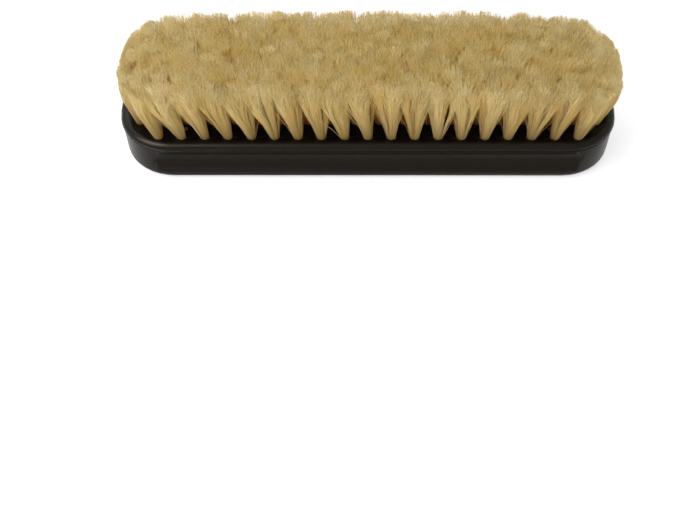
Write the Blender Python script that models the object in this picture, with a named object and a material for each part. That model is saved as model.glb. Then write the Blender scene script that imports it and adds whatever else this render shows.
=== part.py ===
"""Horsehair shoe brush, lying on the flat face of its palm board with the bristles up.

The handle is two lacquered wooden boards. The thin bristle board is drilled with six
staggered rows of holes, and a tuft of hair stands in each hole. A row is one solid: behind
the board's face its roots are fused to a slice of the backing, which fills a slot in the
board's back. One draw wire for each row runs behind the slice, in a slot in the inner face
of the palm board. The thick palm board has a finger groove along each long side, and pins
driven in from the bristle side hold the two boards together.

Metres, +X along the brush, +Y across it, +Z from the palm face to the bristle tips. The
origin is in the middle of the palm face.
"""
import math
import random

import bmesh
import bpy
from mathutils import Vector

MM = 0.001

# Handle, seen from above
HANDLE_LENGTH = 180.0 * MM
HANDLE_WIDTH = 48.0 * MM
END_ARC_RADIUS = 43.0 * MM
CORNER_RADIUS = 19.5 * MM
END_ARC_STEPS = 4
CORNER_STEPS = 9

# Palm board
PALM_THICKNESS = 14.0 * MM
PALM_EDGE_RADIUS = 3.2 * MM
PALM_EDGE_STEPS = 5
PALM_SEAM_RADIUS = 0.65 * MM

# Finger groove along each long side of the palm board
GROOVE_RADIUS = 6.2 * MM
GROOVE_DEPTH = 1.8 * MM
GROOVE_HEIGHT = 9.0 * MM
GROOVE_LENGTH = 162.0 * MM
GROOVE_RUNOUT = 7.0 * MM
GROOVE_SIDES = 28
GROOVE_RUNOUT_STEPS = 5

# Bristle board, whose rim stands out past the palm board
BRISTLE_BOARD_THICKNESS = 2.8 * MM
RIM_OVERHANG = 0.4 * MM
RIM_RADIUS = 2.1 * MM
RIM_SEAM_RADIUS = 0.6 * MM
RIM_STEPS = 4
SEAM_STEPS = 2

# Gap between pieces that seat on each other
FIT_GAP = 0.3 * MM

# Tufts, from the front row to the back row
ROW_TUFT_COUNTS = (19, 20, 21, 22, 21, 20)
ROW_REACH_SHARES = (0.820, 0.902, 0.939, 0.939, 0.902, 0.820)
TIP_REACH_SHARES = (0.860, 0.917, 0.932, 0.932, 0.917, 0.860)
TIP_DEPTH_SHARE = 1.1
EDGE_MARGIN = 4.8 * MM
HOLE_RADIUS = 2.0 * MM
HOLE_SIDES = 8
BRISTLE_LENGTH = 21.5 * MM
BRISTLE_UNEVENNESS = 0.7 * MM
TUFT_COLLAR = 0.8 * MM
SLICE_MARGIN = 0.15 * MM
SLICE_THICKNESS = 0.9 * MM
SLICE_END = 1.2 * MM
STRANDS_IN_TUFT = 4
TIP_GAP = 0.5 * MM
STRAND_FULLNESS_SHARE = 0.78
LEAN_SHARPNESS = 4
TUFT_SEED = 7

# Wires that hold the tufts, one to a row
WIRE_RADIUS = 0.3 * MM
WIRE_TAIL = 1.5 * MM
WIRE_SIDES_SETTING = 1

# Pins that hold the boards together, each between two rows of tufts
PIN_REACH_SHARES = (0.72, 0.24, 0.72)
PIN_ROW_GAPS = (-2, 0, 2)
PIN_SHANK_RADIUS = 0.55 * MM
PIN_HEAD_RADIUS = 0.9 * MM
PIN_HEAD_THICKNESS = 0.5 * MM
PIN_LENGTH = 11.0 * MM
PIN_POINT_LENGTH = 1.6 * MM
PIN_POINT_SHARE = 0.25
PIN_SIDES = 8

# How far a cutter runs past the face that it cuts
CUT_OVERRUN = 1.0 * MM

# Edges that bend less than these are shaded as one curve
BOARD_SMOOTH_ANGLE = math.radians(35)
PIN_SMOOTH_ANGLE = math.radians(50)

# Heights above the palm face that follow from the sizes above
BOARD_BACK_Z = PALM_THICKNESS + FIT_GAP
BOARD_FACE_Z = BOARD_BACK_Z + BRISTLE_BOARD_THICKNESS
WIRE_Z = BOARD_BACK_Z - FIT_GAP - WIRE_RADIUS
SLICE_TOP_Z = BOARD_BACK_Z + SLICE_THICKNESS
COLLAR_TOP_Z = BOARD_FACE_Z + TUFT_COLLAR

ROW_COUNT = len(ROW_TUFT_COUNTS)
OUTER_ROW_Y = HANDLE_WIDTH / 2 - EDGE_MARGIN
ROW_SPACING = 2 * OUTER_ROW_Y / (ROW_COUNT - 1)
FACE_SHARE = math.cos(math.pi / HOLE_SIDES)
ROOT_RADIUS = HOLE_RADIUS - FIT_GAP / FACE_SHARE
SLICE_HALF_WIDTH = ROOT_RADIUS + SLICE_MARGIN


def clear_scene():
    """Empty the scene, the startup objects too."""
    for item in list(bpy.data.objects):
        bpy.data.objects.remove(item, do_unlink=True)


def make_material(name, colour, roughness, metallic=0.0):
    """Return a Principled material of one colour."""
    material = bpy.data.materials.new(name)
    material.use_nodes = True
    shader = material.node_tree.nodes["Principled BSDF"]
    shader.inputs["Base Color"].default_value = (*colour, 1.0)
    shader.inputs["Roughness"].default_value = roughness
    shader.inputs["Metallic"].default_value = metallic
    material.diffuse_color = (*colour, 1.0)
    return material


def black_lacquer(name):
    """Return the satin black lacquer of a board."""
    return make_material(name, (0.016, 0.014, 0.012), 0.34)


def horsehair(name):
    """Return the light golden hair of a row."""
    return make_material(name, (0.42, 0.29, 0.12), 0.62)


def steel_wire(name):
    """Return the bright steel of a drawn wire."""
    return make_material(name, (0.55, 0.54, 0.52), 0.35, 1.0)


def brass(name):
    """Return the dull brass of the pins."""
    return make_material(name, (0.56, 0.42, 0.19), 0.4, 1.0)


def add_object(name, mesh, material=None):
    """Link a new object that shows the mesh."""
    item = bpy.data.objects.new(name, mesh)
    bpy.context.scene.collection.objects.link(item)
    if material:
        mesh.materials.append(material)
    return item


def finish_mesh(name, shape, smooth_angle=None):
    """Turn the bmesh into a mesh, with its faces pointing out."""
    bmesh.ops.recalc_face_normals(shape, faces=shape.faces)
    mesh = bpy.data.meshes.new(name)
    shape.to_mesh(mesh)
    shape.free()
    if smooth_angle:
        mesh.shade_smooth()
        mesh.set_sharp_from_angle(angle=smooth_angle)
    return mesh


def combine(target, tool, operation):
    """Cut the tool's shape out of the target or join it on, and hide the tool."""
    tool.hide_render = True
    tool.display_type = "WIRE"
    modifier = target.modifiers.new(operation.lower() + " " + tool.name, "BOOLEAN")
    modifier.operation = operation
    modifier.solver = "EXACT"
    modifier.object = tool


def cut(target, cutter):
    """Take the cutter's shape out of the target, and hide the cutter."""
    combine(target, cutter, "DIFFERENCE")


def arc_points(centre, radius, start, end, steps):
    """Return points along an arc, both ends included."""
    points = []
    for step in range(steps + 1):
        angle = start + (end - start) * step / steps
        points.append((centre[0] + radius * math.cos(angle), centre[1] + radius * math.sin(angle)))
    return points


def handle_outline(inset):
    """Return the handle's outline, drawn in by the inset, anticlockwise.

    Each end is a wide arc that runs into two tighter corner arcs, which touch the straight
    long sides.
    """
    half_width = HANDLE_WIDTH / 2
    corner = min(CORNER_RADIUS, half_width)
    wide_x = HANDLE_LENGTH / 2 - END_ARC_RADIUS
    corner_y = half_width - corner
    corner_x = wide_x + math.sqrt((END_ARC_RADIUS - corner) ** 2 - corner_y ** 2)
    meeting = math.atan2(corner_y, corner_x - wide_x)
    corner_arc = corner - inset
    wide_arc = END_ARC_RADIUS - inset
    lower = arc_points((corner_x, -corner_y), corner_arc, -math.pi / 2, -meeting, CORNER_STEPS)
    middle = arc_points((wide_x, 0.0), wide_arc, -meeting, meeting, END_ARC_STEPS)
    upper = arc_points((corner_x, corner_y), corner_arc, meeting, math.pi / 2, CORNER_STEPS)
    right_end = lower + middle[1:-1] + upper
    left_end = [(-x, -y) for x, y in right_end]
    return right_end + left_end


def edge_profile(bottom_z, bottom_radius, bottom_steps, top_z, top_radius, top_steps):
    """Return (height, inset) pairs up a board's edge, with both of its edges rounded."""
    profile = []
    for step in range(bottom_steps + 1):
        angle = math.pi / 2 * step / bottom_steps
        height = bottom_z + bottom_radius * (1 - math.sin(angle))
        profile.append((height, bottom_radius * (1 - math.cos(angle))))
    profile.reverse()
    for step in range(top_steps + 1):
        angle = math.pi / 2 * step / top_steps
        height = top_z - top_radius * (1 - math.sin(angle))
        profile.append((height, top_radius * (1 - math.cos(angle))))
    return profile


def bridge_rings(shape, rings):
    """Join a stack of point rings into one closed skin."""
    for lower, upper in zip(rings, rings[1:]):
        for index, corner in enumerate(lower):
            beside = (index + 1) % len(lower)
            shape.faces.new((corner, lower[beside], upper[beside], upper[index]))
    shape.faces.new(list(reversed(rings[0])))
    shape.faces.new(rings[-1])


def board_mesh(name, profile, extra_inset):
    """Return a board with the handle's outline and the given edge."""
    shape = bmesh.new()
    rings = []
    for height, inset in profile:
        outline = handle_outline(inset + extra_inset)
        rings.append([shape.verts.new((x, y, height)) for x, y in outline])
    bridge_rings(shape, rings)
    return finish_mesh(name, shape, BOARD_SMOOTH_ANGLE)


def add_prism(shape, x, y, radius, sides, bottom_z, top_z):
    """Add an upright prism to the bmesh."""
    rings = []
    for height in (bottom_z, top_z):
        ring = []
        for side in range(sides):
            angle = 2 * math.pi * side / sides
            point = (x + radius * math.cos(angle), y + radius * math.sin(angle), height)
            ring.append(shape.verts.new(point))
        rings.append(ring)
    bridge_rings(shape, rings)


def add_turned(shape, x, y, profile, sides):
    """Add a round shape, turned about the upright line at x, y, to the bmesh.

    The profile holds (height, radius) pairs from the bottom up.
    """
    rings = []
    for height, radius in profile:
        ring = []
        for side in range(sides):
            angle = 2 * math.pi * side / sides
            point = (x + radius * math.cos(angle), y + radius * math.sin(angle), height)
            ring.append(shape.verts.new(point))
        rings.append(ring)
    bridge_rings(shape, rings)


def row_y(row):
    """Return a row's place across the board, with the front row at -Y."""
    return -OUTER_ROW_Y + row * ROW_SPACING


def tuft_places(row):
    """Return the x of each tuft in a row."""
    count = ROW_TUFT_COUNTS[row]
    reach = ROW_REACH_SHARES[row] * HANDLE_LENGTH / 2
    return [reach * (2 * index / (count - 1) - 1) for index in range(count)]


def tuft_lean(row, x):
    """Return how far a tuft's tip lies from above its root, along x and y.

    Only the tufts near the ends lean, outwards.
    """
    reach = ROW_REACH_SHARES[row] * HANDLE_LENGTH / 2
    tip_reach = TIP_REACH_SHARES[row] * HANDLE_LENGTH / 2
    lean_x = (tip_reach - reach) * math.copysign(abs(x / reach) ** LEAN_SHARPNESS, x)
    lean_y = (TIP_DEPTH_SHARE - 1) * row_y(row)
    return lean_x, lean_y


def tip_radius():
    """Return the radius of a tuft's tip, which just clears its neighbours' tips."""
    spacings = [ROW_SPACING * TIP_DEPTH_SHARE]
    for row, count in enumerate(ROW_TUFT_COUNTS):
        spacings.append(ROW_REACH_SHARES[row] * HANDLE_LENGTH / (count - 1))
    return min(spacings) / 2 - TIP_GAP / 2


def slice_half_length(row):
    """Return how far a row's slice of the backing reaches from the middle."""
    return tuft_places(row)[-1] + HOLE_RADIUS + SLICE_END


def wire_half_length(row):
    """Return how far a row's wire reaches from the middle."""
    return tuft_places(row)[-1] + HOLE_RADIUS + WIRE_TAIL


def pin_places():
    """Return the x and y of each pin, midway between two rows of tufts."""
    places = []
    for reach_share, row_gap in zip(PIN_REACH_SHARES, PIN_ROW_GAPS):
        for side in (-1, 1):
            x = side * reach_share * HANDLE_LENGTH / 2
            places.append((x, row_gap * ROW_SPACING))
    return places


def build_groove_cutter(name, side):
    """Return the cutter of one finger groove, a long roller with tapered ends."""
    shape = bmesh.new()
    wall_y = HANDLE_WIDTH / 2 - RIM_OVERHANG
    axis_y = side * (wall_y + GROOVE_RADIUS - GROOVE_DEPTH)
    half_length = GROOVE_LENGTH / 2
    stations = []
    for step in range(GROOVE_RUNOUT_STEPS + 1):
        angle = math.pi / 2 * step / GROOVE_RUNOUT_STEPS
        rise = math.sin(angle)
        radius = GROOVE_RADIUS - (GROOVE_DEPTH + CUT_OVERRUN) * (1 - rise)
        stations.append((half_length - GROOVE_RUNOUT * rise, radius))
    stations = [(-x, radius) for x, radius in stations] + stations[::-1]
    rings = []
    for x, radius in stations:
        ring = []
        for index in range(GROOVE_SIDES):
            angle = 2 * math.pi * index / GROOVE_SIDES
            point = (x, axis_y + radius * math.cos(angle), GROOVE_HEIGHT + radius * math.sin(angle))
            ring.append(shape.verts.new(point))
        rings.append(ring)
    bridge_rings(shape, rings)
    return add_object(name, finish_mesh(name, shape))


def add_bar(shape, y, half_length, half_width, bottom_z, top_z):
    """Add a square bar along X to the bmesh, with its middle at y."""
    corners = (
        (-half_length, -half_width),
        (half_length, -half_width),
        (half_length, half_width),
        (-half_length, half_width),
    )
    rings = []
    for height in (bottom_z, top_z):
        rings.append([shape.verts.new((x, y + side, height)) for x, side in corners])
    bridge_rings(shape, rings)


def build_wire_slot_cutter(name):
    """Return the cutter of the slots in the palm board that take the wires."""
    shape = bmesh.new()
    half_width = WIRE_RADIUS + 2 * FIT_GAP
    floor_z = WIRE_Z - WIRE_RADIUS - FIT_GAP
    for row in range(ROW_COUNT):
        half_length = wire_half_length(row) + FIT_GAP
        add_bar(shape, row_y(row), half_length, half_width, floor_z, PALM_THICKNESS + CUT_OVERRUN)
    return add_object(name, finish_mesh(name, shape))


def build_slice_slot_cutter(name):
    """Return the cutter of the slots in the bristle board's back that take the slices."""
    shape = bmesh.new()
    half_width = SLICE_HALF_WIDTH + FIT_GAP
    bottom_z = BOARD_BACK_Z - CUT_OVERRUN
    top_z = SLICE_TOP_Z + FIT_GAP
    for row in range(ROW_COUNT):
        half_length = slice_half_length(row) + FIT_GAP
        add_bar(shape, row_y(row), half_length, half_width, bottom_z, top_z)
    return add_object(name, finish_mesh(name, shape))


def build_pin_hole_cutter(name):
    """Return the cutter of the pins' holes and the seats of their heads."""
    shape = bmesh.new()
    shank = PIN_SHANK_RADIUS + FIT_GAP / FACE_SHARE
    head = PIN_HEAD_RADIUS + FIT_GAP / FACE_SHARE
    seat_z = BOARD_FACE_Z - PIN_HEAD_THICKNESS - FIT_GAP
    tip_z = BOARD_FACE_Z - PIN_LENGTH
    top_z = BOARD_FACE_Z + CUT_OVERRUN
    profile = ((tip_z - FIT_GAP, shank), (seat_z, shank), (seat_z, head), (top_z, head))
    for x, y in pin_places():
        add_turned(shape, x, y, profile, PIN_SIDES)
    return add_object(name, finish_mesh(name, shape))


def build_tuft_hole_cutter(name):
    """Return the cutter of all the holes that hold a tuft."""
    shape = bmesh.new()
    for row in range(ROW_COUNT):
        for x in tuft_places(row):
            bottom = BOARD_BACK_Z - CUT_OVERRUN
            top = BOARD_FACE_Z + CUT_OVERRUN
            add_prism(shape, x, row_y(row), HOLE_RADIUS, HOLE_SIDES, bottom, top)
    return add_object(name, finish_mesh(name, shape))


def build_palm_board(pin_holes):
    """Build the thick board that the hand holds, its flat face down."""
    lower_edge = (0.0, PALM_EDGE_RADIUS, PALM_EDGE_STEPS)
    upper_edge = (PALM_THICKNESS, PALM_SEAM_RADIUS, SEAM_STEPS)
    mesh = board_mesh("palm_board", edge_profile(*lower_edge, *upper_edge), RIM_OVERHANG)
    board = add_object("palm_board", mesh, black_lacquer("palm_lacquer"))
    cut(board, build_groove_cutter("front_groove_cutter", -1))
    cut(board, build_groove_cutter("back_groove_cutter", 1))
    cut(board, build_wire_slot_cutter("wire_slot_cutter"))
    cut(board, pin_holes)


def build_bristle_board(pin_holes):
    """Build the thin board that is drilled for the tufts."""
    lower_edge = (BOARD_BACK_Z, RIM_SEAM_RADIUS, SEAM_STEPS)
    upper_edge = (BOARD_FACE_Z, RIM_RADIUS, RIM_STEPS)
    mesh = board_mesh("bristle_board", edge_profile(*lower_edge, *upper_edge), 0.0)
    board = add_object("bristle_board", mesh, black_lacquer("rim_lacquer"))
    cut(board, build_tuft_hole_cutter("tuft_hole_cutter"))
    cut(board, build_slice_slot_cutter("slice_slot_cutter"))
    cut(board, pin_holes)


def add_tuft(shape, x, y, lean, chance):
    """Add one tuft: a root in its hole and strands that fan out from the top of the root.

    The root starts inside the slice of the backing, which it is later joined to.

    Each strand grows out of its own sector of the root and stays in that sector, so no
    strand crosses another.
    """
    centre = Vector((x, y, 0.0))
    corners = []
    for side in range(HOLE_SIDES):
        angle = 2 * math.pi * side / HOLE_SIDES
        corners.append(Vector((math.cos(angle), math.sin(angle), 0.0)) * ROOT_RADIUS)
    rings = []
    for height in (BOARD_BACK_Z + SLICE_THICKNESS / 2, COLLAR_TOP_Z):
        lift = Vector((0.0, 0.0, height))
        rings.append([shape.verts.new(centre + corner + lift) for corner in corners])
    hub = shape.verts.new(centre + Vector((0.0, 0.0, COLLAR_TOP_Z)))
    shape.faces.new(list(reversed(rings[0])))
    for side in range(HOLE_SIDES):
        beside = (side + 1) % HOLE_SIDES
        shape.faces.new((rings[0][side], rings[0][beside], rings[1][beside], rings[1][side]))

    spread = tip_radius() / ROOT_RADIUS
    sides_in_sector = HOLE_SIDES // STRANDS_IN_TUFT
    for strand in range(STRANDS_IN_TUFT):
        picks = [(strand * sides_in_sector + step) % HOLE_SIDES for step in range(sides_in_sector + 1)]
        foot = [hub] + [rings[1][pick] for pick in picks]
        sector = [Vector((0.0, 0.0, 0.0))] + [corners[pick] for pick in picks]
        middle = sum(sector, Vector()) / len(sector)
        length = BRISTLE_LENGTH + BRISTLE_UNEVENNESS * chance.uniform(-1, 1)
        tip_centre = centre + Vector((lean[0], lean[1], 0.0)) * (length / BRISTLE_LENGTH)
        tip_centre.z = BOARD_FACE_Z + length
        tip = []
        for corner in sector:
            drawn_in = middle + (corner - middle) * STRAND_FULLNESS_SHARE
            tip.append(shape.verts.new(tip_centre + drawn_in * spread))
        for index, corner in enumerate(foot):
            beside = (index + 1) % len(foot)
            shape.faces.new((corner, foot[beside], tip[beside], tip[index]))
        shape.faces.new(tip)


def build_tuft_row(row):
    """Build the tufts of one row, fused to their slice of the backing."""
    name = "tuft_row_%d" % (row + 1)
    chance = random.Random(TUFT_SEED + row)
    tufts = bmesh.new()
    for x in tuft_places(row):
        add_tuft(tufts, x, row_y(row), tuft_lean(row, x), chance)
    tuft_shape = add_object(name + "_tufts", finish_mesh(name + "_tufts", tufts))
    backing = bmesh.new()
    add_bar(backing, row_y(row), slice_half_length(row), SLICE_HALF_WIDTH, BOARD_BACK_Z, SLICE_TOP_Z)
    whole = add_object(name, finish_mesh(name, backing), horsehair("hair_%d" % (row + 1)))
    combine(whole, tuft_shape, "UNION")


def build_draw_wire(row):
    """Build one row's wire, behind the roots of its tufts."""
    name = "draw_wire_row_%d" % (row + 1)
    curve = bpy.data.curves.new(name, "CURVE")
    curve.dimensions = "3D"
    curve.bevel_depth = WIRE_RADIUS
    curve.bevel_resolution = WIRE_SIDES_SETTING
    curve.use_fill_caps = True
    line = curve.splines.new("POLY")
    line.points.add(1)
    for point, end in zip(line.points, (-1, 1)):
        point.co = (end * wire_half_length(row), row_y(row), WIRE_Z, 1.0)
    curve.materials.append(steel_wire("wire_%d" % (row + 1)))
    item = bpy.data.objects.new(name, curve)
    bpy.context.scene.collection.objects.link(item)


def build_board_pin(number, x, y):
    """Build one pin, flush with the bristle board's face."""
    name = "board_pin_%d" % number
    shape = bmesh.new()
    tip_z = BOARD_FACE_Z - PIN_LENGTH
    head_z = BOARD_FACE_Z - PIN_HEAD_THICKNESS
    profile = (
        (tip_z, PIN_SHANK_RADIUS * PIN_POINT_SHARE),
        (tip_z + PIN_POINT_LENGTH, PIN_SHANK_RADIUS),
        (head_z, PIN_SHANK_RADIUS),
        (head_z, PIN_HEAD_RADIUS),
        (BOARD_FACE_Z, PIN_HEAD_RADIUS),
    )
    add_turned(shape, x, y, profile, PIN_SIDES)
    add_object(name, finish_mesh(name, shape, PIN_SMOOTH_ANGLE), brass("pin_brass_%d" % number))


def build_brush():
    """Build the whole brush."""
    clear_scene()
    pin_holes = build_pin_hole_cutter("pin_hole_cutter")
    build_palm_board(pin_holes)
    build_bristle_board(pin_holes)
    for row in range(ROW_COUNT):
        build_tuft_row(row)
        build_draw_wire(row)
    for number, (x, y) in enumerate(pin_places(), start=1):
        build_board_pin(number, x, y)


build_brush()
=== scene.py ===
"""Looks of the horsehair brush: full hair in place of the plain tufts, and lacquered boards.

Lengths are in metres, +X along the brush, +Y across it and +Z up from the palm face.
"""

import math
from types import SimpleNamespace

import bpy
import numpy as np
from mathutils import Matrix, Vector


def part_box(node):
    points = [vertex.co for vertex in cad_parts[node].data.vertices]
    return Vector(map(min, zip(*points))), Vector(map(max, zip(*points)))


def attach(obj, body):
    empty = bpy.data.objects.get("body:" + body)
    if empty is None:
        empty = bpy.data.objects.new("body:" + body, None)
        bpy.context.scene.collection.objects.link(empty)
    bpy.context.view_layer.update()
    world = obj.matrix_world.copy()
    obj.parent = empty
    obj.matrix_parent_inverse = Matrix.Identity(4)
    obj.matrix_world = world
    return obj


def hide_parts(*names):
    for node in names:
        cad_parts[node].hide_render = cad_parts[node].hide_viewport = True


MM = 0.001

# Camera, in the row frame, from the outline, seam and tufts of the photograph
IMAGE_WIDTH = 700
SENSOR_WIDTH = 36.0
FOCAL_PIXELS = 932.3
CAMERA_PLACE = (-6.15 * MM, -260.2 * MM, 244.9 * MM)
CAMERA_PITCH = 0.8918
CAMERA_YAW = 0.0013
CAMERA_NEAR = 0.01
CAMERA_FAR = 20.0

# Rows of tufts, as the bristle board is drilled
ROW_COUNT = 6
ROW_TUFT_COUNTS = (19, 20, 21, 22, 21, 20)
ROW_PIECES = ("left", "middle", "right")
WIRE_PAST_LAST_TUFT = 3.5 * MM
ROOT_RADIUS = 1.45 * MM

# Outline of the mat of hair at its tips, which draws in the tips that pass it
MAT_MIDDLE_X = 0.85 * MM
MAT_HALF_LENGTH = 86.3 * MM
MAT_HALF_WIDTH = 25.6 * MM
MAT_CORNER_RADIUS = 19.0 * MM
MAT_EDGE_SOFTNESS = 2.0 * MM
END_FRAY = 0.22

# Height of the mat: domed over each tuft, and lower towards both ends
HAIR_LENGTH = 19.3 * MM
HAIR_ROOT_DEPTH = 1.2 * MM
TUFT_DOME = 1.5 * MM
MAT_CAMBER = 2.6 * MM
MAT_CREST_X = -3.0 * MM
MAT_CREST_REACH = 80.0 * MM
MAT_CAMBER_POWER = 4
TUFT_HEIGHT_DEVIATION = 0.15 * MM
CLUMP_HEIGHT_DEVIATION = 0.30 * MM
HAIR_HEIGHT_DEVIATION = 0.16 * MM
MOST_DEVIATION = 1.6

# How the tufts open, lean and fall into clumps
HAIR_SEED = 41
HAIRS_IN_TUFT = 750
CLUMPS_IN_TUFT = 9
TIP_SPREAD = 3.9 * MM
INNER_SPREAD = 1.12
INNER_FROM_EDGE = 9.0 * MM
FLARE_POWER = 1.6
LEAN_IN_MIDDLE = -2.6 * MM
LEAN_AT_LEFT = -4.0 * MM
LEAN_AT_RIGHT = 4.0 * MM
TUFT_LEAN_DEVIATION = 0.3 * MM
CLUMP_PULL = 0.55
CLUMP_DRIFT = 0.45 * MM
CLUMP_CURL = 0.6 * MM

# Single hairs
HAIR_RADIUS = 0.068 * MM
HAIR_SIDES = 3
STATION_SHARES = (0.0, 0.35, 0.65, 0.85, 1.0)
STATION_RADIUS_SHARES = (1.0, 1.0, 1.0, 0.95, 0.85)
TURN_BETWEEN_HAIRS = 2.399963
HAIR_BOW = 0.35 * MM
TIP_CURL = 1.3 * MM
TIP_CURL_POWER = 4
STRAY_SHARE = 0.03
STRAY_CURL_POWER = 1.4
LEAST_STRAY = 1.5 * MM
MOST_STRAY = 4.5 * MM
MOST_STRAY_DROP = 3.0 * MM

# Shading of the hair: its normals are mixed with those of the tuft, the clump and the mat
SOFT_NORMAL_SHARE = 0.5
CLUMP_ROUNDNESS = 0.5
NEAR_TIP_POWER = 3
UPRIGHT_AT_ROOT = 0.15

# Shade of each hair, from 0 for dull ochre to 1 for pale; duller round a tuft's rim as painted
# shade
MEAN_SHADE = 0.61
HAIR_SHADE_DEVIATION = 0.08
CLUMP_SHADE_DEVIATION = 0.10
TUFT_SHADE_DEVIATION = 0.04
RIM_PAINTED_SHADE = 0.25
RIM_PAINTED_SHADE_POWER = 3
LEAST_SHADE = 0.02
MOST_SHADE = 0.98

# Hairs inside the mat are deep and get painted shade, and those at its edge aren't
NONE_DEEP_TO_EDGE = 3.5 * MM
ALL_DEEP_FROM_EDGE = 12.0 * MM

# The map for baking has a hair's shade across and the place along it upwards, in one band
# for hairs that aren't deep and one above it for those that are
BAKE_SHADE_SPAN = 0.97
BAKE_SIDE_STEP = 0.008
BAKE_END_INSET = 0.01
BAKE_BAND_HEIGHT = 0.49
BAKE_DEEP_BAND_START = 0.5

# Colours of the hair, as (place, colour) stops
SHADE_COLOURS = (
    (0.0, (0.57, 0.375, 0.09)),
    (0.5, (0.71, 0.55, 0.225)),
    (1.0, (0.86, 0.73, 0.44)),
)
# Painted shade: the hair darkens from its tip down to its root, where the mat shades it
PAINTED_ROOT_SHADE_COLOURS = (
    (0.03, (0.28, 0.23, 0.17)),
    (0.2, (0.48, 0.43, 0.35)),
    (0.5, (0.76, 0.71, 0.63)),
    (0.75, (0.95, 0.92, 0.87)),
    (1.0, (1.0, 1.0, 1.0)),
)
# Painted shade for deep hairs: darker and warmer low down, where little light gets into the mat
DEEP_PAINTED_SHADE_COLOURS = (
    (0.0, (0.50, 0.22, 0.06)),
    (0.45, (0.84, 0.46, 0.11)),
    (0.78, (1.0, 0.73, 0.15)),
    (0.97, (0.90, 0.88, 0.78)),
)
# Painted shade for deep hairs of dull shade: more ochre, as in the shaded dabs of the mat
DEEP_DAB_PAINTED_SHADE_COLOURS = (
    (0.28, (0.99, 0.93, 0.64)),
    (0.58, (1.0, 1.0, 1.0)),
)
HAIR_ROUGHNESS = 0.55
HAIR_SPECULAR = 0.3

# Lacquer, with a very fine grain
LACQUER_COLOURS = (
    (0.3, (0.0030, 0.0025, 0.0017)),
    (0.7, (0.0045, 0.0037, 0.0026)),
)
LACQUER_ROUGHNESS = (0.28, 0.34)
LACQUER_SPECULAR = 0.14
LACQUER_TINT = (1.0, 0.86, 0.70, 1.0)
GRAIN_SCALE = 900.0
GRAIN_DETAIL = 4.0
GRAIN_STRENGTH = 0.06
GRAIN_HEIGHT = 0.1 * MM
WELD_DISTANCE = 0.01 * MM
EVEN_SHADING_WEIGHT = 100

# Floor, which glows more at a distance, so that it looks white all over
FLOOR_HALF_SIZE = 3.0
FLOOR_DROP = 0.02 * MM
FLOOR_COLOUR = (0.8, 0.8, 0.8, 1.0)
GLOW_REACH = (0.25, 1.2)
GLOW_STRENGTH = (0.45, 0.85)

# World light, which is stronger behind the object than in front of it
WORLD_Y = (-0.5, 0.3)
WORLD_STRENGTH = (0.06, 0.55)

# Soft boxes: name, place, width, height, power, and whether they light diffusely and are mirrored
LIGHT_TARGET = (0, 0, 0.02)
LIGHTS = (
    ("key", (-0.35, 0.4, 0.62), 0.6, 0.5, 1.6, True, True),
    ("left_front", (-0.49, -0.36, 0.70), 0.6, 0.36, 3.8, True, True),
    ("left_shine", (-0.59, -0.40, 0.56), 0.7, 0.62, 13.0, False, True),
    ("front", (0.1, -0.62, 0.36), 0.7, 0.35, 3.4, True, False),
)

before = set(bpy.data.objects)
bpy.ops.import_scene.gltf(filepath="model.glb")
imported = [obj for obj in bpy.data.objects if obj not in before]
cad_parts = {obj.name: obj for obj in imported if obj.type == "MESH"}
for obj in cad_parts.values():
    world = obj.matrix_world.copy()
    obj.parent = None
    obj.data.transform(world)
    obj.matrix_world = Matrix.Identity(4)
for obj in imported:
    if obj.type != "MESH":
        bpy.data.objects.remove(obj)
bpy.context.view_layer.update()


def node_material(name):
    """Return a new material with its tree and its shader."""
    material = bpy.data.materials.new(name)
    material.use_nodes = True
    tree = material.node_tree
    shader = tree.nodes["Principled BSDF"]
    return material, tree, shader


def ramp(tree, factor, stops):
    """Add a colour ramp that is driven by the factor, and return its colour."""
    node = tree.nodes.new("ShaderNodeValToRGB")
    tree.links.new(factor, node.inputs["Fac"])
    elements = node.color_ramp.elements
    while len(elements) < len(stops):
        elements.new(0.5)
    for element, (place, colour) in zip(elements, stops):
        element.position = place
        element.color = (*colour, 1.0)
    return node.outputs["Color"]


def attribute(tree, name):
    """Return the value of a named attribute of the mesh."""
    node = tree.nodes.new("ShaderNodeAttribute")
    node.attribute_name = name
    return node.outputs["Fac"]


def multiplied(tree, factor, one, other):
    """Return one colour times another, as far as the factor says."""
    mix = tree.nodes.new("ShaderNodeMix")
    mix.data_type = "RGBA"
    mix.blend_type = "MULTIPLY"
    if isinstance(factor, float):
        mix.inputs["Factor"].default_value = factor
    else:
        tree.links.new(factor, mix.inputs["Factor"])
    tree.links.new(one, mix.inputs["A"])
    tree.links.new(other, mix.inputs["B"])
    return mix.outputs["Result"]


def map_range(tree, value, source, target):
    """Return the value, moved from the source's range to the target's."""
    node = tree.nodes.new("ShaderNodeMapRange")
    tree.links.new(value, node.inputs["Value"])
    for end, old, new in zip(("Min", "Max"), source, target):
        node.inputs["From " + end].default_value = old
        node.inputs["To " + end].default_value = new
    return node.outputs["Result"]


def combined(tree, operation, one, other):
    """Return the result of an operation on two values."""
    node = tree.nodes.new("ShaderNodeMath")
    node.operation = operation
    tree.links.new(one, node.inputs[0])
    tree.links.new(other, node.inputs[1])
    return node.outputs["Value"]


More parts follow.
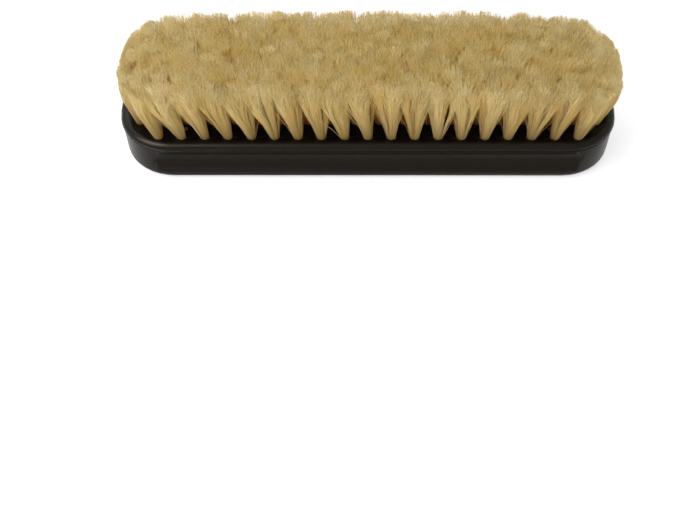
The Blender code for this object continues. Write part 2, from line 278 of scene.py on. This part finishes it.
def hair_material():
    """Return the golden hair, with painted shade darker at its root and paler at its tip, and
    warmer painted shade on deep hairs.
    """
    material, tree, shader = node_material("horsehair")
    shade = attribute(tree, "hair_shade")
    along = attribute(tree, "hair_along")
    deep = attribute(tree, "hair_deep_painted_shade")
    own = ramp(tree, shade, SHADE_COLOURS)
    # Painted shade, darker down towards the root of each hair
    hair = multiplied(tree, 1.0, own, ramp(tree, along, PAINTED_ROOT_SHADE_COLOURS))
    # Painted shade on deep hairs: darker and warmer low down in the mat
    hair = multiplied(tree, deep, hair, ramp(tree, along, DEEP_PAINTED_SHADE_COLOURS))
    # Painted shade: dull deep hairs turn more ochre, as the shaded dabs of the mat do
    hair = multiplied(tree, deep, hair, ramp(tree, shade, DEEP_DAB_PAINTED_SHADE_COLOURS))
    tree.links.new(hair, shader.inputs["Base Color"])
    shader.inputs["Roughness"].default_value = HAIR_ROUGHNESS
    shader.inputs["Specular IOR Level"].default_value = HAIR_SPECULAR
    return material


def lacquer_material(name):
    """Return satin black lacquer over wood."""
    material, tree, shader = node_material(name)
    coordinates = tree.nodes.new("ShaderNodeTexCoord")
    noise = tree.nodes.new("ShaderNodeTexNoise")
    noise.inputs["Scale"].default_value = GRAIN_SCALE
    noise.inputs["Detail"].default_value = GRAIN_DETAIL
    tree.links.new(coordinates.outputs["Object"], noise.inputs["Vector"])
    grain = noise.outputs["Fac"]
    tree.links.new(ramp(tree, grain, LACQUER_COLOURS), shader.inputs["Base Color"])
    roughness = map_range(tree, grain, (0.0, 1.0), LACQUER_ROUGHNESS)
    tree.links.new(roughness, shader.inputs["Roughness"])
    shader.inputs["Specular IOR Level"].default_value = LACQUER_SPECULAR
    shader.inputs["Specular Tint"].default_value = LACQUER_TINT
    bump = tree.nodes.new("ShaderNodeBump")
    bump.inputs["Strength"].default_value = GRAIN_STRENGTH
    bump.inputs["Distance"].default_value = GRAIN_HEIGHT
    tree.links.new(grain, bump.inputs["Height"])
    tree.links.new(bump.outputs["Normal"], shader.inputs["Normal"])
    return material


def row_layout(row):
    """Return a row's place across the board, the x of each of its tufts and the last one's."""
    low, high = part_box("draw_wire_row_%d" % (row + 1))
    reach = high.x - WIRE_PAST_LAST_TUFT
    count = ROW_TUFT_COUNTS[row]
    return (low.y + high.y) / 2, np.linspace(-reach, reach, count), reach


def turned(dice, count):
    """Return unit directions in the plane of the board, at random."""
    turn = dice.uniform(0, 2 * math.pi, count)
    return np.stack([np.cos(turn), np.sin(turn)], 1)


def spread(dice, size, count):
    """Return chance deviations of a size, none of them large."""
    return np.clip(dice.normal(0, size, count), -MOST_DEVIATION * size, MOST_DEVIATION * size)


def row_lean(reach_share):
    """Return how far a tuft leans along the brush, from its place between the ends."""
    slope = (LEAN_AT_RIGHT - LEAN_AT_LEFT) / 2
    bend = (LEAN_AT_RIGHT + LEAN_AT_LEFT) / 2 - LEAN_IN_MIDDLE
    return LEAN_IN_MIDDLE + slope * reach_share + bend * reach_share ** 2


def past_mat_edge(points):
    """Return how far points lie past the mat's outline, and the way out from it."""
    core = np.array([MAT_HALF_LENGTH, MAT_HALF_WIDTH]) - MAT_CORNER_RADIUS
    offset = points - np.array([MAT_MIDDLE_X, 0.0])
    past = np.abs(offset) - core
    outer = np.maximum(past, 0)
    length = np.linalg.norm(outer, axis=1)
    inner = np.minimum(past.max(axis=1), 0)
    direction = outer / np.maximum(length, 1e-9)[:, None] * np.sign(offset)
    return length + inner - MAT_CORNER_RADIUS, direction


def held_in_mat(points):
    """Draw tips that pass the mat's outline back to it, a little less at its two ends."""
    outside, direction = past_mat_edge(points)
    excess = np.maximum(outside + MAT_EDGE_SOFTNESS, 0)
    kept = MAT_EDGE_SOFTNESS * np.tanh(excess / MAT_EDGE_SOFTNESS)
    held = points - direction * (excess - kept)[:, None]
    held[:, 0] += END_FRAY * (points - held)[:, 0]
    return held


def hair_roots(dice, tuft_count):
    """Return where each hair of a row stands in its tuft, and the clump that it falls into.

    A hair falls into the clump of its tuft whose middle is nearest to its root.
    """
    count = tuft_count * HAIRS_IN_TUFT
    clump_count = tuft_count * CLUMPS_IN_TUFT
    tuft = np.repeat(np.arange(tuft_count), HAIRS_IN_TUFT)
    share = np.sqrt(dice.random(count))
    side = turned(dice, count)
    place = side * (share * ROOT_RADIUS)[:, None]
    middles = turned(dice, clump_count)
    middles *= (np.sqrt(dice.random(clump_count)) * ROOT_RADIUS)[:, None]
    middles = middles.reshape(tuft_count, CLUMPS_IN_TUFT, 2)
    nearest = np.linalg.norm(place[:, None, :] - middles[tuft], axis=2).argmin(1)
    return SimpleNamespace(
        count=count,
        tuft_count=tuft_count,
        clump_count=clump_count,
        tuft=tuft,
        clump=tuft * CLUMPS_IN_TUFT + nearest,
        share=share,
        side=side,
        place=place,
        clump_place=middles[tuft, nearest],
    )


def hair_tips(dice, roots, centre, reach):
    """Return the place of each tip, how far it wanders from there, and which hairs are strays."""
    clump_drift = dice.normal(0, CLUMP_DRIFT, (roots.clump_count, 2))[roots.clump]
    drawn = roots.place * (1 - CLUMP_PULL) + roots.clump_place * CLUMP_PULL
    inner = past_mat_edge(centre)[0] < -INNER_FROM_EDGE
    flare = drawn * (TIP_SPREAD / ROOT_RADIUS * np.where(inner, INNER_SPREAD, 1.0))[:, None]
    lean = np.zeros((roots.count, 2))
    lean[:, 0] = row_lean(centre[:, 0] / reach)
    tuft_lean = dice.normal(0, TUFT_LEAN_DEVIATION, (roots.tuft_count, 2))[roots.tuft]
    wander = dice.normal(0, TIP_CURL, (roots.count, 2))
    wander += dice.normal(0, CLUMP_CURL, (roots.clump_count, 2))[roots.clump]
    strays = dice.random(roots.count) < STRAY_SHARE
    stray_way = turned(dice, roots.count)
    stray_reach = dice.uniform(LEAST_STRAY, MOST_STRAY, roots.count)
    wander[strays] += stray_way[strays] * stray_reach[strays][:, None]
    tip = centre + roots.place + flare + lean + tuft_lean + clump_drift
    return tip, wander, strays


def hair_heights(dice, roots, centre, strays):
    """Return the height of each tip above the bristle board's face."""
    tuft_height = spread(dice, TUFT_HEIGHT_DEVIATION, roots.tuft_count)[roots.tuft]
    clump_height = spread(dice, CLUMP_HEIGHT_DEVIATION, roots.clump_count)[roots.clump]
    own_height = spread(dice, HAIR_HEIGHT_DEVIATION, roots.count)
    height = HAIR_LENGTH + tuft_height + clump_height + own_height
    height -= TUFT_DOME * roots.share ** 2
    from_crest = (centre[:, 0] - MAT_CREST_X) / MAT_CREST_REACH
    height += MAT_CAMBER * (1 - from_crest ** MAT_CAMBER_POWER)
    height[strays] -= dice.uniform(0, MOST_STRAY_DROP, roots.count)[strays]
    return height


def hair_points(dice, roots, centre, tips, height):
    """Return the points that each hair runs through, from its root to its tip."""
    tip, wander, strays = tips
    held = held_in_mat(tip + wander)
    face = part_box("bristle_board")[1].z
    bow = turned(dice, roots.count) * dice.normal(0, HAIR_BOW, roots.count)[:, None]
    curl_power = np.where(strays, STRAY_CURL_POWER, TIP_CURL_POWER)
    points = np.zeros((roots.count, len(STATION_SHARES), 3))
    for index, share in enumerate(STATION_SHARES):
        opened = math.sin(math.pi / 2 * share) ** FLARE_POWER
        late = (share ** curl_power)[:, None]
        foot = (centre + roots.place) * (1 - opened)
        spot = foot + (held - wander) * opened + wander * late
        points[:, index, :2] = spot + bow * math.sin(math.pi * share)
        points[:, index, 2] = face - HAIR_ROOT_DEPTH + (height + HAIR_ROOT_DEPTH) * share
    return points


def hair_shades(dice, roots):
    """Return the shade of each hair, duller round the rim of its tuft as painted shade between the
    tufts.
    """
    clump_shade = dice.normal(0, CLUMP_SHADE_DEVIATION, roots.clump_count)[roots.clump]
    tuft_shade = dice.normal(0, TUFT_SHADE_DEVIATION, roots.tuft_count)[roots.tuft]
    shade = dice.normal(MEAN_SHADE, HAIR_SHADE_DEVIATION, roots.count) + clump_shade + tuft_shade
    # Painted shade round the rim of each tuft, for the crevices between tufts
    shade -= RIM_PAINTED_SHADE * roots.share ** RIM_PAINTED_SHADE_POWER
    return np.clip(shade, LEAST_SHADE, MOST_SHADE)


def hairs_with_deep_painted_shade(dice, tip):
    """Return 1 for deep hairs, which get painted shade, and 0 for others, by chance, more of them
    further inside the mat.
    """
    inside = -past_mat_edge(tip)[0]
    chance = (inside - NONE_DEEP_TO_EDGE) / (ALL_DEEP_FROM_EDGE - NONE_DEEP_TO_EDGE)
    return (dice.random(len(tip)) < chance).astype(float)


def soft_normals(roots):
    """Return normals for each hair's stations: out of its tuft low down, and up at its tip."""
    facing = np.zeros((roots.count, len(STATION_SHARES), 3))
    clump_side = (roots.place - roots.clump_place) * (CLUMPS_IN_TUFT ** 0.5 / ROOT_RADIUS)
    for index, share in enumerate(STATION_SHARES):
        near_tip = share ** NEAR_TIP_POWER
        out_of_tuft = roots.side * (roots.share * (1 - near_tip))[:, None]
        facing[:, index, :2] = out_of_tuft + clump_side * near_tip * CLUMP_ROUNDNESS
        facing[:, index, 2] = UPRIGHT_AT_ROOT + (1 - UPRIGHT_AT_ROOT) * share
    facing /= np.linalg.norm(facing, axis=2, keepdims=True)
    return facing


def row_hairs(row):
    """Return the points, shades, deep marks and soft normals of all the hairs in a row."""
    dice = np.random.default_rng(HAIR_SEED + row)
    depth, tufts, reach = row_layout(row)
    roots = hair_roots(dice, len(tufts))
    centre = np.stack([tufts[roots.tuft], np.full(roots.count, depth)], 1)
    tips = hair_tips(dice, roots, centre, reach)
    height = hair_heights(dice, roots, centre, tips[2])
    points = hair_points(dice, roots, centre, tips, height)
    shade = hair_shades(dice, roots)
    deep = hairs_with_deep_painted_shade(dice, tips[0])
    return points, shade, deep, soft_normals(roots)


def hair_skin(points, facing):
    """Return the corners of three-sided hairs that run through the points, and their normals."""
    count, stations, _ = points.shape
    along = np.gradient(points, axis=1)
    along /= np.linalg.norm(along, axis=2, keepdims=True)
    guide = np.zeros_like(along)
    guide[:, :, 0] = 1.0
    across = np.cross(along, guide)
    across /= np.linalg.norm(across, axis=2, keepdims=True)
    third = np.cross(along, across)
    start = (np.arange(count) * TURN_BETWEEN_HAIRS) % (2 * math.pi)
    corners = np.zeros((count, stations * HAIR_SIDES, 3))
    normals = np.zeros_like(corners)
    for ring in range(stations):
        size = HAIR_RADIUS * STATION_RADIUS_SHARES[ring]
        soft = facing[:, ring] * SOFT_NORMAL_SHARE
        for side in range(HAIR_SIDES):
            angle = start + 2 * math.pi * side / HAIR_SIDES
            offset = np.cos(angle)[:, None] * across[:, ring]
            offset = offset + np.sin(angle)[:, None] * third[:, ring]
            corners[:, ring * HAIR_SIDES + side] = points[:, ring] + offset * size
            normals[:, ring * HAIR_SIDES + side] = offset * (1 - SOFT_NORMAL_SHARE) + soft
    normals = normals.reshape(-1, 3)
    normals /= np.linalg.norm(normals, axis=1, keepdims=True)
    return corners, normals


def hair_faces(stations):
    """Return the triangles of one closed, blunt hair."""
    faces = [(0, 2, 1)]
    for ring in range(stations - 1):
        low = ring * HAIR_SIDES
        high = low + HAIR_SIDES
        for side in range(HAIR_SIDES):
            beside = (side + 1) % HAIR_SIDES
            faces.append((low + side, low + beside, high + beside))
            faces.append((low + side, high + beside, high + side))
    top = (stations - 1) * HAIR_SIDES
    faces.append((top, top + 1, top + 2))
    return np.array(faces)


def add_point_values(mesh, name, values):
    """Give the mesh a named value at each of its points."""
    layer = mesh.attributes.new(name, "FLOAT", "POINT")
    layer.data.foreach_set("value", values.astype(np.float32))


def add_bake_map(mesh, all_faces, faces_each, shade, share, deep):
    """Give the mesh its map for baking, on which a place says shade, place along and depth."""
    count = len(shade)
    nudge = np.tile(np.arange(HAIR_SIDES), len(STATION_SHARES)) * BAKE_SIDE_STEP
    corner = all_faces.reshape(-1)
    u = (shade[:, None] * BAKE_SHADE_SPAN + nudge[None]).reshape(-1)[corner]
    v = np.tile(share, count)[corner].reshape(count, faces_each, 3)
    v[:, 0, 1] = BAKE_END_INSET
    v[:, -1, 1] = 1 - BAKE_END_INSET
    v = v * BAKE_BAND_HEIGHT + deep[:, None, None] * BAKE_DEEP_BAND_START
    layer = mesh.uv_layers.new(name="OFBake")
    places = np.stack([u, v.reshape(-1)], 1).reshape(-1)
    layer.data.foreach_set("uv", places.astype(np.float32))


def hair_mesh(name, points, shade, deep, facing):
    """Return one mesh of all the hairs that run through the points."""
    count = len(points)
    corners, normals = hair_skin(points, facing)
    faces = hair_faces(len(STATION_SHARES))
    verts_each = corners.shape[1]
    first_corners = np.arange(count) * verts_each
    all_faces = (faces[None] + first_corners[:, None, None]).reshape(-1, 3)

    mesh = bpy.data.meshes.new(name)
    mesh.vertices.add(count * verts_each)
    mesh.vertices.foreach_set("co", corners.reshape(-1).astype(np.float32))
    mesh.loops.add(all_faces.size)
    mesh.loops.foreach_set("vertex_index", all_faces.reshape(-1).astype(np.int32))
    mesh.polygons.add(len(all_faces))
    mesh.polygons.foreach_set("loop_start", np.arange(0, all_faces.size, 3, dtype=np.int32))
    mesh.polygons.foreach_set("loop_total", np.full(len(all_faces), 3, np.int32))
    mesh.update(calc_edges=True)
    mesh.shade_smooth()
    mesh.normals_split_custom_set_from_vertices(normals.astype(np.float32))

    share = np.repeat(STATION_SHARES, HAIR_SIDES)
    add_point_values(mesh, "hair_shade", np.repeat(shade, verts_each))
    add_point_values(mesh, "hair_along", np.tile(share, count))
    add_point_values(mesh, "hair_deep_painted_shade", np.repeat(deep, verts_each))
    add_bake_map(mesh, all_faces, len(faces), shade, share, deep)
    return mesh


def build_hair():
    """Build the hair of each row, in three pieces along it, in place of its plain tufts."""
    material = hair_material()
    for row in range(ROW_COUNT):
        points, shade, deep, facing = row_hairs(row)
        cuts = np.linspace(0, ROW_TUFT_COUNTS[row], len(ROW_PIECES) + 1).astype(int) * HAIRS_IN_TUFT
        for index, side in enumerate(ROW_PIECES):
            part = slice(cuts[index], cuts[index + 1])
            name = "hair_row_%d_%s" % (row + 1, side)
            mesh = hair_mesh(name, points[part], shade[part], deep[part], facing[part])
            mesh.materials.append(material)
            hair = bpy.data.objects.new(name, mesh)
            bpy.context.scene.collection.objects.link(hair)
            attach(hair, "root")
            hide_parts("tuft_row_%d" % (row + 1))


def finish_boards():
    """Give the boards their lacquer and even shading."""
    for name in ("palm_board", "bristle_board"):
        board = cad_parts[name]
        board.data.materials.clear()
        board.data.materials.append(lacquer_material(name + "_lacquer"))
        board.data.shade_smooth()
        weld = board.modifiers.new("weld", "WELD")
        weld.merge_threshold = WELD_DISTANCE
        even = board.modifiers.new("even shading", "WEIGHTED_NORMAL")
        even.mode = "FACE_AREA"
        even.weight = EVEN_SHADING_WEIGHT


def seen_rays(tree):
    """Return 1 for the rays that show the background: straight, mirrored or through glass."""
    path = tree.nodes.new("ShaderNodeLightPath")
    total = path.outputs["Is Camera Ray"]
    for name in ("Is Glossy Ray", "Is Transmission Ray"):
        total = combined(tree, "MAXIMUM", total, path.outputs[name])
    return total


def floor_material():
    """Return a white that keeps shadows and glows a little where it is seen."""
    material = bpy.data.materials.new("floor_white")
    material.use_nodes = True
    tree = material.node_tree
    tree.nodes.clear()
    output = tree.nodes.new("ShaderNodeOutputMaterial")
    diffuse = tree.nodes.new("ShaderNodeBsdfDiffuse")
    diffuse.inputs["Color"].default_value = FLOOR_COLOUR
    coordinates = tree.nodes.new("ShaderNodeTexCoord")
    distance = tree.nodes.new("ShaderNodeVectorMath")
    distance.operation = "LENGTH"
    tree.links.new(coordinates.outputs["Object"], distance.inputs[0])
    strength = map_range(tree, distance.outputs["Value"], GLOW_REACH, GLOW_STRENGTH)
    strength = combined(tree, "MULTIPLY", seen_rays(tree), strength)
    glow = tree.nodes.new("ShaderNodeEmission")
    tree.links.new(strength, glow.inputs["Strength"])
    both = tree.nodes.new("ShaderNodeAddShader")
    tree.links.new(diffuse.outputs["BSDF"], both.inputs[0])
    tree.links.new(glow.outputs["Emission"], both.inputs[1])
    tree.links.new(both.outputs["Shader"], output.inputs["Surface"])
    return material


def build_floor():
    """Build the white floor, which keeps the brush's shadow."""
    half = FLOOR_HALF_SIZE
    corners = [(-half, -half, 0), (half, -half, 0), (half, half, 0), (-half, half, 0)]
    mesh = bpy.data.meshes.new("floor")
    mesh.from_pydata(corners, [], [(0, 1, 2, 3)])
    mesh.materials.append(floor_material())
    floor = bpy.data.objects.new("floor", mesh)
    floor.location.z = -FLOOR_DROP
    bpy.context.scene.collection.objects.link(floor)


def build_world():
    """Light the scene softly, a little darker in front, with white behind the object."""
    world = bpy.data.worlds.new("studio")
    bpy.context.scene.world = world
    world.use_nodes = True
    tree = world.node_tree
    background = tree.nodes["Background"]
    background.inputs["Color"].default_value = (1.0, 1.0, 1.0, 1.0)
    coordinates = tree.nodes.new("ShaderNodeTexCoord")
    parts = tree.nodes.new("ShaderNodeSeparateXYZ")
    tree.links.new(coordinates.outputs["Generated"], parts.inputs["Vector"])
    around = map_range(tree, parts.outputs["Y"], WORLD_Y, WORLD_STRENGTH)
    mix = tree.nodes.new("ShaderNodeMix")
    tree.links.new(seen_rays(tree), mix.inputs["Factor"])
    tree.links.new(around, mix.inputs["A"])
    mix.inputs["B"].default_value = 1.0
    tree.links.new(mix.outputs["Result"], background.inputs["Strength"])


def build_lights():
    """Add the soft boxes, all of which face the brush."""
    for name, place, width, height, power, lights_diffusely, is_mirrored in LIGHTS:
        lamp = bpy.data.lights.new(name, "AREA")
        lamp.shape = "RECTANGLE"
        lamp.size = width
        lamp.size_y = height
        lamp.energy = power
        light = bpy.data.objects.new(name, lamp)
        light.location = place
        way = Vector(LIGHT_TARGET) - Vector(place)
        light.rotation_euler = way.to_track_quat("-Z", "Y").to_euler()
        light.visible_diffuse = lights_diffusely
        light.visible_glossy = is_mirrored
        bpy.context.scene.collection.objects.link(light)


def build_camera():
    """Set up the camera at the photograph's place."""
    camera = bpy.data.cameras.new("photo_camera")
    camera.sensor_width = SENSOR_WIDTH
    camera.lens = FOCAL_PIXELS / IMAGE_WIDTH * SENSOR_WIDTH
    camera.clip_start = CAMERA_NEAR
    camera.clip_end = CAMERA_FAR
    holder = bpy.data.objects.new("photo_camera", camera)
    holder.location = CAMERA_PLACE
    holder.rotation_euler = (math.pi / 2 - CAMERA_PITCH, 0.0, CAMERA_YAW)
    bpy.context.scene.collection.objects.link(holder)
    bpy.context.scene.camera = holder


build_hair()
finish_boards()
build_floor()
build_world()
build_lights()
build_camera()
bpy.context.scene.view_settings.view_transform = "Standard"
